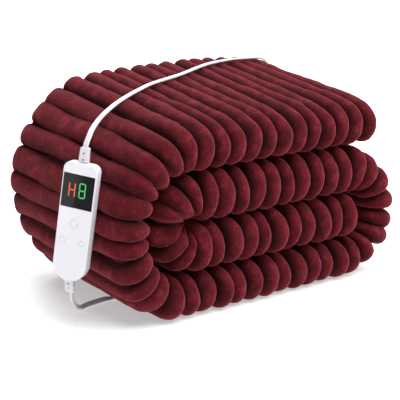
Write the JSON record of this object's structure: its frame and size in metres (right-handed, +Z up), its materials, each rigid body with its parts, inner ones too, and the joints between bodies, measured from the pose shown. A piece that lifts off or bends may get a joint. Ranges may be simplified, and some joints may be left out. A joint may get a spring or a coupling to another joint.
{
  "type": "electric heated blanket",
  "caption": "Ribbed plush heated throw folded into layers and wound flat, with its hand control lying against the side and its lead coiled behind.",
  "frame": {"origin": "middle of the folded throw's footprint, on the surface that it rests on", "axes": "+X along the rows to their free end on the right, -Y out of the rounded front folds, +Z up"},
  "size_m": [0.4739, 0.3846, 0.2631],
  "materials": {
    "plush": "burgundy polyester flannel plush, sewn in channels",
    "shell": "gloss white moulded ABS",
    "window": "smoked acrylic display window",
    "button": "white satin rubber key",
    "lead": "white flexible PVC",
    "tie": "grey hook-and-loop band",
    "blade": "nickel-plated brass"
  },
  "bodies": {
    "throw": {"blanket": "plush", "control_front_shell": "shell", "control_back_shell": "shell", "display_window": "window", "relief_upper": "lead", "relief_lower": "lead", "mains_lead": "lead", "mains_coil": "lead", "coil_tie": "tie", "blanket_lead": "lead", "lead_sleeve": "lead", "plug_body": "lead", "plug_neck": "lead", "plug_tail": "lead", "plug_blade_left": "blade", "plug_blade_right": "blade"},
    "power_key": {"power_button": "button"},
    "lower_heat_key": {"lower_heat_button": "button"},
    "raise_heat_key": {"raise_heat_button": "button"}
  },
  "joints": [
    {"name": "power_press", "type": "slide", "parent": "throw", "child": "power_key", "axis": [0.829, 0.5569, -0.0519], "range_m": [0, 0.0006], "stiffness_N_per_m": 1500},
    {"name": "lower_heat_press", "type": "slide", "parent": "throw", "child": "lower_heat_key", "axis": [0.829, 0.5569, -0.0519], "range_m": [0, 0.0006], "stiffness_N_per_m": 1500},
    {"name": "raise_heat_press", "type": "slide", "parent": "throw", "child": "raise_heat_key", "axis": [0.829, 0.5569, -0.0519], "range_m": [0, 0.0006], "stiffness_N_per_m": 1500}
  ]
}
